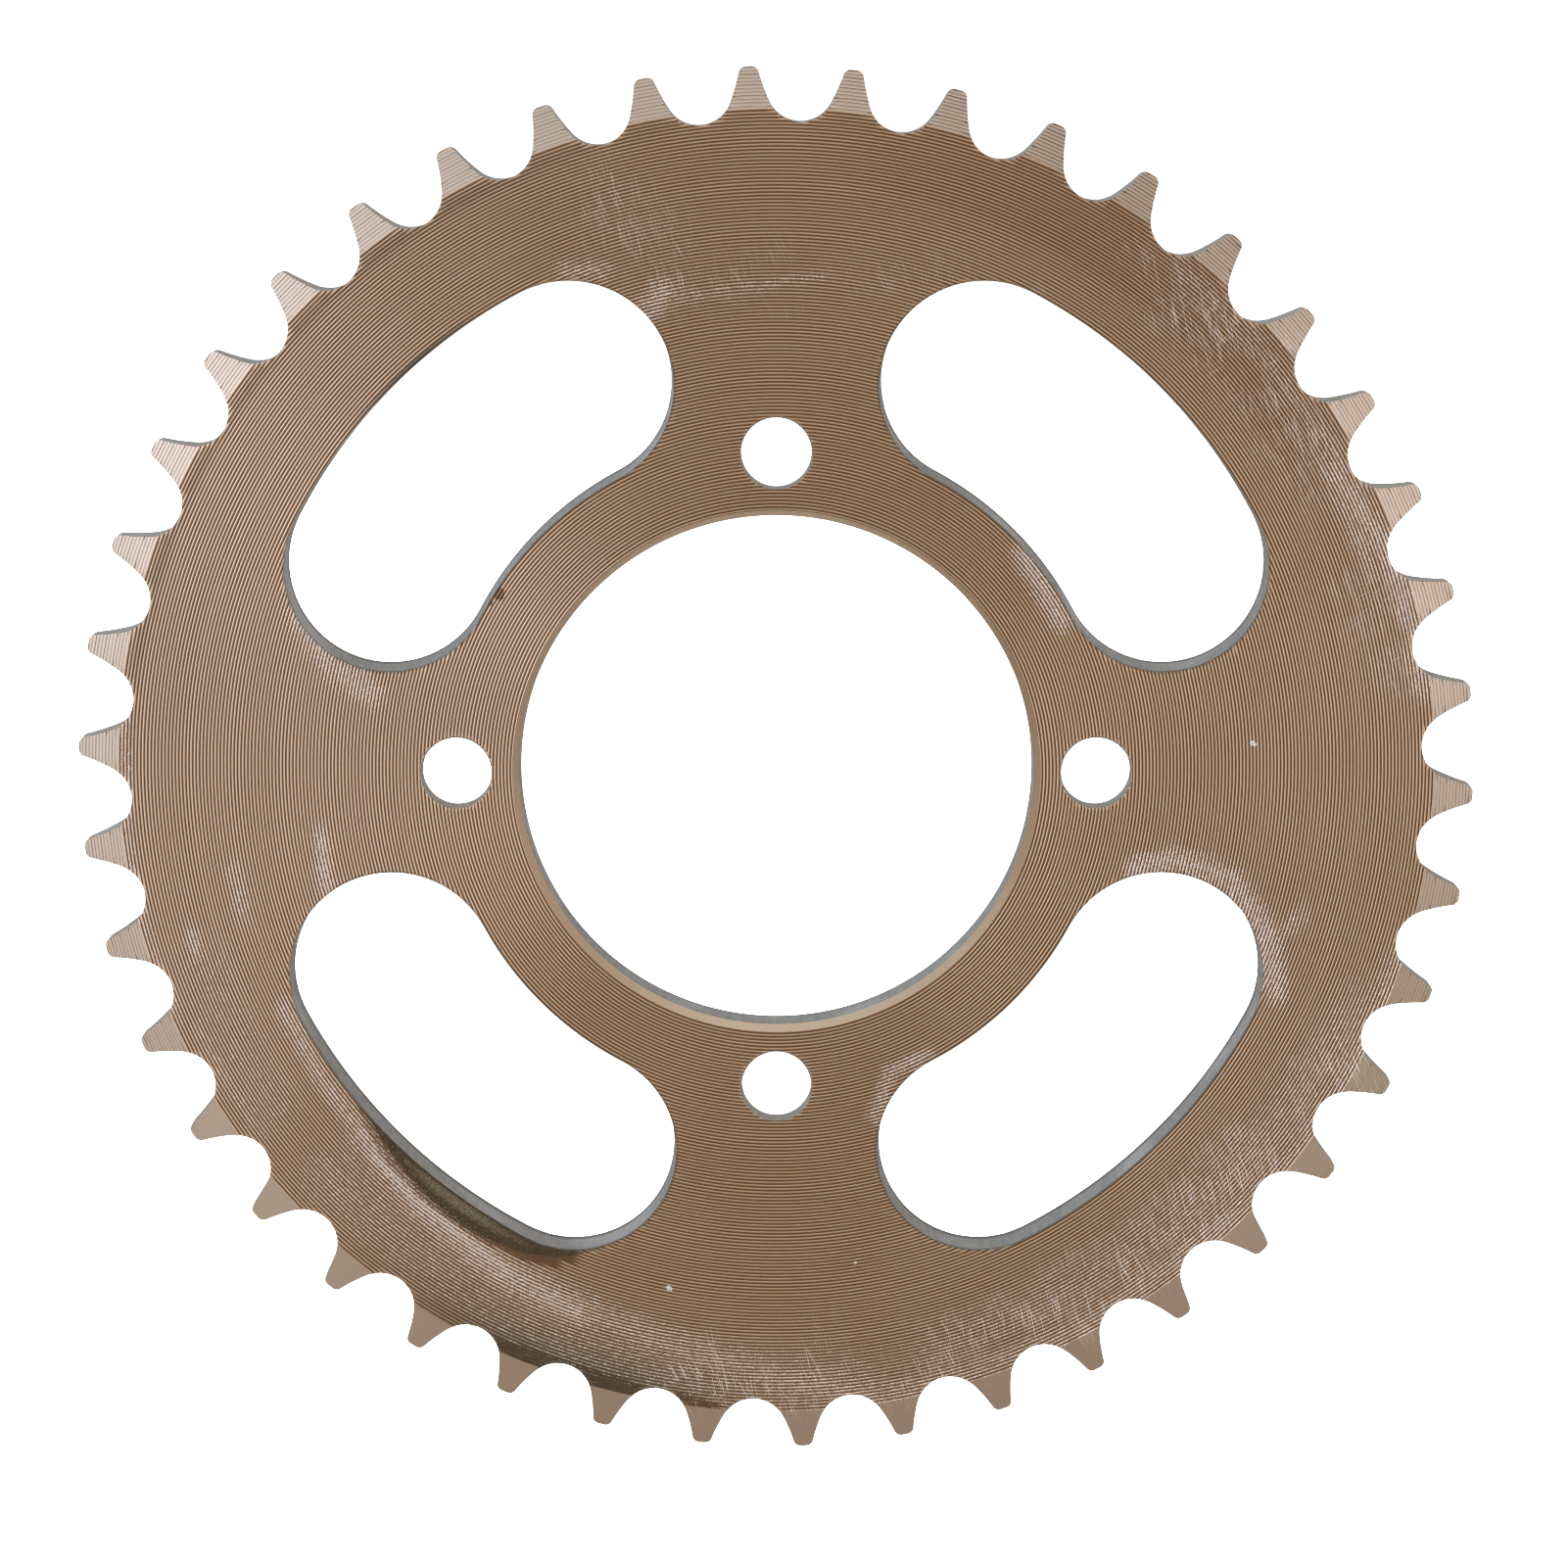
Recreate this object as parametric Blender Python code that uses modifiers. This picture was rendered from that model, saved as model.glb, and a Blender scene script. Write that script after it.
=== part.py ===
"""Rear chain sprocket of a small motorcycle: one flat steel plate, upright as it stands on a wheel.

Units are metres. The bore's axis is Y, the outer face looks towards -Y, and the origin is the
bore's centre, half-way through the plate. The plate is modelled lying flat around Z, with its
outer face up, and is then turned upright.
"""

import math

import bmesh
import bpy

MM = 0.001

# Chain that the teeth fit, and the tooth form
TOOTH_COUNT = 42
CHAIN_PITCH = 12.7 * MM
ROLLER_DIAMETER = 8.51 * MM
SEAT_RADIUS = 4.3 * MM
SEAT_HALF_ANGLE = math.radians(63.4)
FLANK_RADIUS = 25.5 * MM
TIP_RADIUS = 87.43 * MM
TIP_CORNER_RADIUS = 0.85 * MM
FIRST_GAP_ANGLE = math.radians(2.26)

# Plate
THICKNESS = 7.0 * MM
RELIEF_START_RADIUS = 82.25 * MM
RELIEF_SLOPE = 0.372
BORE_RADIUS = 32.2 * MM
BORE_CHAMFER = 0.85 * MM

# Four kidney-shaped windows, half-way between the bolt holes
WINDOW_COUNT = 4
WINDOW_CENTRE_RADIUS = 54.65 * MM
WINDOW_HALF_WIDTH = 13.0 * MM
WINDOW_HALF_ANGLE = math.radians(17.0)

# Four bolt holes
BOLT_COUNT = 4
BOLT_CIRCLE_RADIUS = 40.0 * MM
BOLT_HOLE_RADIUS = 4.4 * MM
BOLT_FRONT_BREAK = 0.2 * MM
BACK_COUNTERSINK_WIDTH = 2.0 * MM
BACK_COUNTERSINK_DEPTH = 3.8 * MM

# How finely round shapes are divided
PLATE_STEPS = 126
BOLT_HOLE_STEPS = 32
SEAT_STEPS = 4
FLANK_STEPS = 2
TIP_CORNER_STEPS = 3
WINDOW_OUTER_STEPS = 10
WINDOW_INNER_STEPS = 6
WINDOW_END_STEPS = 14

# How far cutters reach beyond the plate, and the limits for welding, dissolving and sharp edges
CUTTER_MARGIN = 2.0 * MM
WELD_DISTANCE = 0.001 * MM
SCREW_MERGE_DISTANCE = 0.01 * MM
FLAT_ANGLE = math.radians(0.05)
SHARP_ANGLE = math.radians(15.0)

STEEL_COLOUR = (0.36, 0.25, 0.17, 1.0)
STEEL_METALLIC = 1.0
STEEL_ROUGHNESS = 0.45

PITCH_RADIUS = CHAIN_PITCH / 2 / math.sin(math.pi / TOOTH_COUNT)
ROOT_RADIUS = PITCH_RADIUS - ROLLER_DIAMETER / 2
HALF_THICKNESS = THICKNESS / 2


def clear_scene():
    for old in list(bpy.data.objects):
        bpy.data.objects.remove(old, do_unlink=True)


def new_collection(name):
    collection = bpy.data.collections.new(name)
    bpy.context.scene.collection.children.link(collection)
    return collection


def arc(centre, radius, start, end, segments):
    """Points of an arc, both ends included. Angles are measured from +X towards +Y."""
    angles = [start + (end - start) * i / segments for i in range(segments + 1)]
    return [(centre[0] + radius * math.cos(a), centre[1] + radius * math.sin(a)) for a in angles]


def turned(points, angle):
    """The points turned about the axis."""
    c, s = math.cos(angle), math.sin(angle)
    return [(c * x - s * y, s * x + c * y) for x, y in points]


def direction(start, end):
    return math.atan2(end[1] - start[1], end[0] - start[0])


def corner_centre(flank_centre):
    """Centre of the round that joins the tip circle to a flank, inside the tooth.

    It lies TIP_RADIUS - TIP_CORNER_RADIUS from the axis, and FLANK_RADIUS + TIP_CORNER_RADIUS
    from the flank's centre.
    """
    from_axis = TIP_RADIUS - TIP_CORNER_RADIUS
    from_flank = FLANK_RADIUS + TIP_CORNER_RADIUS
    reach = math.hypot(*flank_centre)
    along = (from_axis**2 - from_flank**2 + reach**2) / (2 * reach)
    turn = math.acos(along / from_axis)
    angle = math.atan2(flank_centre[1], flank_centre[0]) + turn
    return from_axis * math.cos(angle), from_axis * math.sin(angle)


def half_gap():
    """Outline from the bottom of the tooth gap on +X to the middle of the next tooth, anticlockwise."""
    seat_centre = (ROOT_RADIUS + SEAT_RADIUS, 0.0)
    seat_end = math.pi - SEAT_HALF_ANGLE
    seat = arc(seat_centre, SEAT_RADIUS, math.pi, seat_end, SEAT_STEPS)

    centre_offset = FLANK_RADIUS - SEAT_RADIUS
    flank_centre = (
        seat_centre[0] - centre_offset * math.cos(seat_end),
        seat_centre[1] - centre_offset * math.sin(seat_end),
    )
    corner = corner_centre(flank_centre)
    flank_end = direction(flank_centre, corner)
    flank = arc(flank_centre, FLANK_RADIUS, seat_end, flank_end, FLANK_STEPS)

    tip_start = direction((0.0, 0.0), corner)
    corner_start = flank_end - math.pi
    round_corner = arc(corner, TIP_CORNER_RADIUS, corner_start, tip_start, TIP_CORNER_STEPS)
    tooth_middle = turned([(TIP_RADIUS, 0.0)], math.pi / TOOTH_COUNT)
    return seat + flank[1:] + round_corner[1:] + tooth_middle


def toothed_outline():
    half = half_gap()
    other_half = [(x, -y) for x, y in reversed(half)]
    gap = other_half[:-1] + half[:-1]
    outline = []
    for i in range(TOOTH_COUNT):
        outline += turned(gap, FIRST_GAP_ANGLE + 2 * math.pi * i / TOOTH_COUNT)
    return outline


def window_outline():
    """Kidney shape centred on +X: two round ends joined by arcs about the axis."""
    axis = (0.0, 0.0)
    half_turn = math.pi
    end = WINDOW_HALF_ANGLE
    width = WINDOW_HALF_WIDTH
    outer = arc(axis, WINDOW_CENTRE_RADIUS + width, -end, end, WINDOW_OUTER_STEPS)
    inner = arc(axis, WINDOW_CENTRE_RADIUS - width, end, -end, WINDOW_INNER_STEPS)
    end_x, end_y = turned([(WINDOW_CENTRE_RADIUS, 0.0)], end)[0]
    upper = arc((end_x, end_y), width, end, end + half_turn, WINDOW_END_STEPS)
    lower = arc((end_x, -end_y), width, half_turn - end, 2 * half_turn - end, WINDOW_END_STEPS)
    return outer[:-1] + upper[:-1] + inner[:-1] + lower[:-1]


def prism(name, outline, half_height, collection):
    """A flat outline extruded both ways from the middle plane, as a closed mesh."""
    curve = bpy.data.curves.new(name + "_outline", "CURVE")
    curve.dimensions = "2D"
    curve.fill_mode = "BOTH"
    curve.extrude = half_height
    spline = curve.splines.new("POLY")
    spline.points.add(len(outline) - 1)
    for point, (x, y) in zip(spline.points, outline):
        point.co = (x, y, 0.0, 1.0)
    spline.use_cyclic_u = True
    drawn = bpy.data.objects.new(name + "_outline", curve)
    collection.objects.link(drawn)
    bpy.context.view_layer.update()

    graph = bpy.context.evaluated_depsgraph_get()
    mesh = bpy.data.meshes.new_from_object(drawn.evaluated_get(graph))
    weld_caps(mesh)
    solid = bpy.data.objects.new(name, mesh)
    solid.matrix_world = drawn.matrix_world
    collection.objects.link(solid)
    bpy.data.objects.remove(drawn, do_unlink=True)
    return solid


def weld_caps(mesh):
    shape = bmesh.new()
    shape.from_mesh(mesh)
    bmesh.ops.remove_doubles(shape, verts=shape.verts, dist=WELD_DISTANCE)
    bmesh.ops.recalc_face_normals(shape, faces=shape.faces)
    shape.to_mesh(mesh)
    shape.free()


def turned_solid(name, profile, steps, collection):
    """A closed (radius, height) profile turned round Z with a Screw modifier."""
    mesh = bpy.data.meshes.new(name)
    count = len(profile)
    edges = [(i, (i + 1) % count) for i in range(count)]
    mesh.from_pydata([(r, 0.0, z) for r, z in profile], edges, [])
    solid = bpy.data.objects.new(name, mesh)
    collection.objects.link(solid)
    screw = solid.modifiers.new("turn", "SCREW")
    screw.steps = steps
    screw.render_steps = steps
    screw.use_merge_vertices = True
    screw.merge_threshold = SCREW_MERGE_DISTANCE
    return solid


def mark_as_cutter(solid):
    solid.hide_render = True
    solid.display_type = "WIRE"
    return solid


def plate_blank(collection):
    """The turned disc: chamfered bore, flat faces, and a cone on each face that thins the teeth."""
    rim = TIP_RADIUS + CUTTER_MARGIN
    land = HALF_THICKNESS - (rim - RELIEF_START_RADIUS) * RELIEF_SLOPE
    mouth = BORE_RADIUS + BORE_CHAMFER
    wall = HALF_THICKNESS - BORE_CHAMFER
    profile = [
        (RELIEF_START_RADIUS, HALF_THICKNESS),
        (rim, land),
        (rim, -land),
        (RELIEF_START_RADIUS, -HALF_THICKNESS),
        (mouth, -HALF_THICKNESS),
        (BORE_RADIUS, -wall),
        (BORE_RADIUS, wall),
        (mouth, HALF_THICKNESS),
    ]
    return turned_solid("sprocket_plate", profile, PLATE_STEPS, collection)


def bolt_hole_cutter(index, collection):
    """A drilled hole with a 45-degree edge break on the outer face and a steep countersink behind."""
    reach = HALF_THICKNESS + CUTTER_MARGIN
    widening = BACK_COUNTERSINK_WIDTH / BACK_COUNTERSINK_DEPTH
    front_edge = BOLT_HOLE_RADIUS + BOLT_FRONT_BREAK + CUTTER_MARGIN
    back_edge = BOLT_HOLE_RADIUS + BACK_COUNTERSINK_WIDTH + CUTTER_MARGIN * widening
    profile = [
        (0.0, reach),
        (front_edge, reach),
        (BOLT_HOLE_RADIUS, HALF_THICKNESS - BOLT_FRONT_BREAK),
        (BOLT_HOLE_RADIUS, BACK_COUNTERSINK_DEPTH - HALF_THICKNESS),
        (back_edge, -reach),
        (0.0, -reach),
    ]
    name = f"bolt_hole_cutter_{index + 1}"
    cutter = mark_as_cutter(turned_solid(name, profile, BOLT_HOLE_STEPS, collection))
    angle = 2 * math.pi * index / BOLT_COUNT
    cutter.location.x = BOLT_CIRCLE_RADIUS * math.cos(angle)
    cutter.location.y = BOLT_CIRCLE_RADIUS * math.sin(angle)
    return cutter


def window_cutter(index, collection):
    name = f"window_cutter_{index + 1}"
    reach = HALF_THICKNESS + CUTTER_MARGIN
    cutter = mark_as_cutter(prism(name, window_outline(), reach, collection))
    cutter.rotation_euler.z = 2 * math.pi * (index + 0.5) / WINDOW_COUNT
    return cutter


def cut(solid, tool, operation):
    boolean = solid.modifiers.new(tool.name, "BOOLEAN")
    boolean.operation = operation
    boolean.solver = "EXACT"
    boolean.object = tool


def steel():
    material = bpy.data.materials.new("turned_steel")
    material.use_nodes = True
    surface = material.node_tree.nodes["Principled BSDF"]
    surface.inputs["Base Color"].default_value = STEEL_COLOUR
    surface.inputs["Metallic"].default_value = STEEL_METALLIC
    surface.inputs["Roughness"].default_value = STEEL_ROUGHNESS
    return material


def apply_modifiers(solid):
    """Replaces the mesh by the evaluated one, with each flat area's leftover cuts dissolved."""
    graph = bpy.context.evaluated_depsgraph_get()
    mesh = bpy.data.meshes.new_from_object(solid.evaluated_get(graph))
    solid.modifiers.clear()
    solid.data = mesh

    shape = bmesh.new()
    shape.from_mesh(mesh)
    bmesh.ops.dissolve_limit(shape, angle_limit=FLAT_ANGLE, verts=shape.verts, edges=shape.edges)
    bmesh.ops.triangulate(shape, faces=shape.faces, quad_method="BEAUTY", ngon_method="BEAUTY")
    shape.to_mesh(mesh)
    shape.free()


def build():
    clear_scene()
    parts = new_collection("rear_sprocket")
    cutters = new_collection("cutters")

    plate = plate_blank(parts)
    teeth = mark_as_cutter(prism("tooth_outline", toothed_outline(), THICKNESS, cutters))
    cut(plate, teeth, "INTERSECT")
    for index in range(WINDOW_COUNT):
        cut(plate, window_cutter(index, cutters), "DIFFERENCE")
    for index in range(BOLT_COUNT):
        cut(plate, bolt_hole_cutter(index, cutters), "DIFFERENCE")
    bpy.context.view_layer.update()
    apply_modifiers(plate)

    plate.data.materials.clear()
    plate.data.materials.append(steel())
    plate.data.shade_smooth()
    plate.data.set_sharp_from_angle(angle=SHARP_ANGLE)
    plate.rotation_euler.x = math.pi / 2


build()
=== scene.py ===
"""Rear sprocket of a small motorcycle, upright, with its tool marks and wear, in soft studio light."""

import math

import bpy
import numpy as np
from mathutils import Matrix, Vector


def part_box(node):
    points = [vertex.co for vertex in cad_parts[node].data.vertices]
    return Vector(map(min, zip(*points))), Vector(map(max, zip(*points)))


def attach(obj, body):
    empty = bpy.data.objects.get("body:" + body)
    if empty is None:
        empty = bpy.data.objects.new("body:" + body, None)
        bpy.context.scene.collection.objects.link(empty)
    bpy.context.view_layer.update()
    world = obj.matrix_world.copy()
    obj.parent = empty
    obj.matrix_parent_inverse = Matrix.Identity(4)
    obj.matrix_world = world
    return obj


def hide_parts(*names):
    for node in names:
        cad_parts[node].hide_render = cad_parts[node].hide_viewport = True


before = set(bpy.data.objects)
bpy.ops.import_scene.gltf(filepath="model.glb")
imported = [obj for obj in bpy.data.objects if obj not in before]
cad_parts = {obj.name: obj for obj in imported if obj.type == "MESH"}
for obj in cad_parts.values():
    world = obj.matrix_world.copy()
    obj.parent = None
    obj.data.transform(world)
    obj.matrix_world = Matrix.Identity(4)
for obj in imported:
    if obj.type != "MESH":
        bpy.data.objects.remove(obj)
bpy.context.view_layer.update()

MM = 0.001
TAU = 2 * math.pi
NODE = "sprocket_plate"
BODY = "root"

plate_low, plate_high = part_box(NODE)
CENTRE = (plate_low + plate_high) / 2
HALF_THICKNESS = (plate_high.y - plate_low.y) / 2 / MM

# Shapes below are in millimetres from the plate's centre: u to the right, v up, h towards the outer face, -Y.

# Teeth
TOOTH_COUNT = 42
CHAIN_PITCH = 12.7
ROLLER_DIAMETER = 8.51
ROOT_RADIUS = CHAIN_PITCH / 2 / math.sin(math.pi / TOOTH_COUNT) - ROLLER_DIAMETER / 2
SEAT_RADIUS = 4.3
SEAT_HALF_ANGLE = math.radians(63.4)
FLANK_RADIUS = 25.5
TIP_RADIUS = 87.43
TIP_CORNER_RADIUS = 0.85
FIRST_GAP_ANGLE = math.radians(2.26)
SEAT_STEPS = 12
FLANK_STEPS = 6
TIP_CORNER_STEPS = 5

# Turned faces, tooth cones and bore
RELIEF_START = 82.25
RELIEF_SLOPE = 0.372
BORE_RADIUS = 32.2
BORE_CHAMFER = 0.85

# Windows
WINDOW_COUNT = 4
WINDOW_CENTRE_RADIUS = 54.65
WINDOW_HALF_WIDTH = 13.0
WINDOW_HALF_ANGLE = math.radians(17.0)
WINDOW_DRAFT = 0.55
WINDOW_OUTER_STEPS = 40
WINDOW_INNER_STEPS = 24
WINDOW_END_STEPS = 40

# Bolt holes, countersunk from behind
BOLT_COUNT = 4
BOLT_CIRCLE = 40.0
BOLT_RADIUS = 4.4
BOLT_FRONT_BREAK = 0.2
BOLT_SINK_WIDTH = 2.0
BOLT_SINK_DEPTH = 3.8
BOLT_STEPS = 64

CUT_MARGIN = 1.0

# Tool marks: one V-shaped ring for each turn of the lathe's feed
GROOVE_COUNT = 114
GROOVE_DEPTH = 0.12
GROOVE_LEAST_SHARE = 0.93
RIDGE_UNEVENNESS = 0.006
VALLEY_POSITION = 0.57
CONE_GROOVE_DEPTH = 0.055
CONE_GROOVE_LEAST_SHARE = 0.7
CONE_GROOVE_FAINT_SHARE = 0.35
CONE_GROOVE_EXTRA_SHARE = 0.4
FRONT_SEED = 3
BACK_SEED = 8
TURN_STEPS = 252
RIM_MARGIN = 1.0

# Where the punched blank rolled below the turned face: a steep edge in a wide dip by a window, and a shallow
# dip at the rim, which grows between two radii
ROLL_DEPTH = 0.50
ROLL_WIDTH = 1.0
DIP_DEPTH = 0.20
DIP_WIDTH = 1.9
RIM_DIP_DEPTH = 0.03
RIM_DIP_START = 79.0
RIM_DIP_FULL = 82.0

# The chamfer ends where the turned face starts, and the face where the cones start. A vertex this close to
# such an edge still counts as lying on it.
FACE_EDGE = RELIEF_START + 0.05
CONE_EDGE = RELIEF_START + 0.02
SCUFF_EDGE = RELIEF_START + 0.2
CHAMFER_EDGE = BORE_RADIUS + BORE_CHAMFER + 0.05

# Which faces are walls, by how much of their normal lies along the axis, and which edges are sharp
WALL_LIMIT = 0.45
DRILLED_WALL_LIMIT = 0.8
SHARP_ANGLE = math.radians(75)
RIDGE_TOLERANCE = 0.015
RING_TOLERANCE = 0.02

# Stretches round the axis: start, end and half the fade, in degrees anticlockwise from +X
DEEP_CONE_GROOVES = (-40, 215, 20)
DEEPEST_CONE_GROOVES = (46, 82, 14)
WINDOW_DIP = (227, 241, 7)
RIM_DIP = (241, 263, 9)
# Where the rim gets painted shade, at the bottom also the darker unturned surface, and its thin line on the
# upper left
DARK_RIM = (238, 264, 11)
DARK_RIM_LINE = (108, 176, 14)
TORN_DIP_EDGE = (221, 238, 4)
BROWNED_CONES_ABOVE = (44, 80, 16)
BROWNED_CONES_BELOW = (235, 312, 16)
BROWNED_BAND = (28, 76, 12)
# Where the bore's chamfer gets a painted highlight
BRIGHT_CHAMFER = (28, 152, 24)
# Where the face gets painted sheen, on the side towards the brightest soft box
LIT_SIDE_SHEEN = (128, 222, 32)
SHEEN_MIDDLE = (138, 160, 16)
SCALE_SKIN = (223, 247, 13)
# Where the upper left window's outer edge gets painted shade
SHADED_WINDOW_EDGE = (124, 138, 7)

# Bands by radius, the painted shade at the bottom rim and the browned face band: where each starts, where it
# is full, and its strength
DARK_RIM_BAND = (74.0, 80.5, 0.95)
BROWNED_FACE_BAND = (71, 75, 0.6)

# A thin line of painted shade near the rim
RIM_LINE_RADIUS = 80.9
RIM_LINE_WIDTH = 0.9
RIM_LINE_STRENGTH = 0.40

# The tool tore the metal where it only just cut: depths of the dip where this starts, is full and ends, and
# its outermost radius
TORN_START = 0.004
TORN_FULL = 0.03
TORN_END = 0.12
TORN_OUTER_RADIUS = 75

# Limits and strengths of the other masks
TOOTH_WALLS_START = 77
TOOTH_WALL_BARENESS = 0.5
SINK_RING = 0.5
EDGE_REACH = 10
BROWNED_ABOVE = 0.7
BROWNED_BELOW = 0.9
LIT_SHEEN_STRENGTH = 0.54
MIDDLE_SHEEN_STRENGTH = 0.42

# Broad strokes of wear: (u, v) points, width and strength
SCUFFS = [
    ([(-62, -30), (-57.5, -39), (-52.5, -46)], 2.2, 0.8),
    ([(-52, -46), (-45, -55.5), (-36, -63.5), (-25, -69.5)], 4.6, 1.0),
    ([(-50.5, -49.5), (-46, -54.5), (-40, -59.5), (-34, -64)], 2.0, 1.25),
    ([(-72, -24), (-64, -43)], 8.0, 0.25),
    ([(-56, -52), (-44, -62), (-28, -72), (-8, -78), (12, -80)], 8.0, 0.42),
    ([(-25, -69), (-13, -74), (0, -78), (12, -80)], 4.5, 0.65),
    ([(-15.5, 58), (-14, 60)], 3.0, 0.9),
    ([(-26, 62.5), (-21, 62.5)], 2.0, 0.7),
    ([(-12, 59), (6, 62)], 1.5, 0.35),
    ([(-59.5, 19.5), (-55.5, 13.5), (-50.5, 9.8)], 3.0, 0.95),
    ([(30.5, 27.5), (33, 23.5), (35.5, 19)], 2.6, 1.0),
    ([(69, 38), (76, 28), (79, 20)], 2.8, 0.85),
    ([(79, 20), (80.5, 10)], 2.4, 0.7),
    ([(50, 62), (60, 53), (68, 42), (73, 34)], 3.2, 0.26),
    ([(70, 34), (74, 25)], 2.0, 0.5),
    ([(45, -12), (50, -11), (57, -13.5), (61.5, -20), (63, -28)], 2.6, 1.0),
    ([(62, -22), (66, -18)], 2.0, 0.6),
    ([(12.5, -44), (14.5, -38), (19, -36)], 1.8, 0.9),
    ([(-57, -8), (-56.5, -15)], 2.0, 1.0),
    ([(-68, -12), (-67, -18)], 2.0, 0.62),
    ([(-73.5, -20), (-73, -23)], 1.8, 0.9),
    ([(-81.5, 7), (-81.5, -8), (-79.5, -20), (-75.5, -31)], 1.8, 0.6),
    ([(-73, -33), (-66, -45)], 2.0, 0.4),
    ([(79, -22), (74, -35), (66, -49), (57, -58), (40, -71), (20, -79), (8, -81)], 2.8, 0.6),
    ([(73, -30), (66, -42), (55, -54), (38, -67), (20, -74)], 6.5, 0.3),
]
SCRATCHED_PLACES = [
    ([(73, -38), (64, -46), (54, -56), (38, -68), (20, -76), (-10, -78)], 9.0, 1.0),
    ([(48, 62), (60, 50), (70, 35), (78, 15)], 9.0, 0.85),
    ([(12, 62), (30, 60)], 8.0, 0.3),
    ([(-22, 72), (-12, 62), (4, 62)], 8.0, 0.6),
]
BACK_SCUFF_SHARE = 0.5
BACK_SCRATCH_SHARE = 0.6

# Small ragged spots on the outer face: u, v and radius
STAINS = [(-34.6, 22.5, 0.9), (-38.3, 75.4, 0.5), (-36.9, 74.9, 0.35), (-35.6, 21.4, 0.4)]
CHIPS = [(59.5, 3.7, 0.36), (59.8, 3.5, 0.25), (-13.7, -66.2, 0.36), (-13.4, -66.4, 0.2), (10.0, -62.9, 0.2)]

# Colours of the turned metal, linear
BRONZE_DARK = (0.575, 0.39, 0.25, 1)
BRONZE_LIGHT = (0.62, 0.43, 0.29, 1)
BRONZE_GRAIN = (0.62, 0.47, 0.36, 1)
# Painted sheen on the left side, which faces the brightest soft box
SHEEN_BRONZE = (0.77, 0.57, 0.43, 1)
BROWNED_BRONZE = (0.50, 0.315, 0.205, 1)
CONE_METAL = (0.66, 0.53, 0.43, 1)
BROWNED_CONE = (0.53, 0.405, 0.315, 1)
# Painted highlight on the upper part of the bore's chamfer
CHAMFER_HIGHLIGHT = (0.92, 0.70, 0.53, 1)
# Painted shade at the rim and along the windows' edges, at the bottom rim also the darker unturned surface
PAINTED_SHADE = (0.20, 0.175, 0.13, 1)
SCALE_DARK = (0.19, 0.15, 0.10, 1)
SCALE_LIGHT = (0.36, 0.30, 0.22, 1)
SCUFFED_METAL = (0.80, 0.66, 0.56, 1)
SCUFF_SPECK = (0.95, 0.84, 0.78, 1)
SCRATCH_METAL = (1.0, 0.90, 0.84, 1)
STAIN_COLOUR = (0.20, 0.12, 0.07, 1)
CHIP_METAL = (1.0, 0.97, 0.94, 1)

# Colours of the pressed and drilled walls, linear
WALL_DARK = (0.30, 0.287, 0.27, 1)
WALL_LIGHT = (0.36, 0.345, 0.325, 1)
WALL_PATCH = (0.50, 0.48, 0.47, 1)
WALL_GRAIN = (0.25, 0.235, 0.22, 1)
WALL_EDGE = (0.12, 0.108, 0.095, 1)
DRILLED_LIGHT = (0.50, 0.455, 0.41, 1)
DRILLED_DARK = (0.38, 0.345, 0.31, 1)

# Studio: the dip of the line of sight that the outer face reflects, and the dim middle that it meets
MIRROR_DIP = math.radians(8.5)
SKY_BASE = (0.52, 0.49, 0.435)
DIM_MIDDLE = (0.20, 0.145, 0.105, 1)
DIM_INNER_ANGLE = math.radians(12)
DIM_OUTER_ANGLE = math.radians(38)
WHITE = (1.0, 1.0, 1.0, 1.0)

# Floor, in metres
FLOOR_COLOUR = (0.9, 0.9, 0.9, 1)
FLOOR_GLOW = 0.8
FLOOR_HALF_SIZE = 4.0
FLOOR_DROP = 0.25

# Camera: lens and sensor in millimetres, and its place from the plate's centre in metres
LENS = 114.54
SENSOR_WIDTH = 36.0
CAMERA_OFFSET = (0.0003, -0.62055, 0.0914)
CAMERA_PITCH = math.radians(81.443)
CAMERA_TURN = math.radians(-0.06)


def smoothstep(low, high, value):
    t = np.clip((value - low) / (high - low), 0.0, 1.0)
    return t * t * (3 - 2 * t)


def arc(centre, radius, start, end, segments):
    angle = np.linspace(start, end, segments + 1)
    return np.stack([centre[0] + radius * np.cos(angle), centre[1] + radius * np.sin(angle)], 1)


def rotated(points, angle):
    c, s = math.cos(angle), math.sin(angle)
    return points @ np.array([[c, s], [-s, c]])


# Outlines


def tip_corner_centre(flank_centre):
    """Centre of the small arc that touches both the flank, from outside, and the tip circle, from inside."""
    from_axis = TIP_RADIUS - TIP_CORNER_RADIUS
    from_flank = FLANK_RADIUS + TIP_CORNER_RADIUS
    reach = math.hypot(*flank_centre)
    along = (from_axis**2 - from_flank**2 + reach**2) / (2 * reach)
    angle = math.atan2(flank_centre[1], flank_centre[0]) + math.acos(along / from_axis)
    return from_axis * math.cos(angle), from_axis * math.sin(angle)


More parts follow.
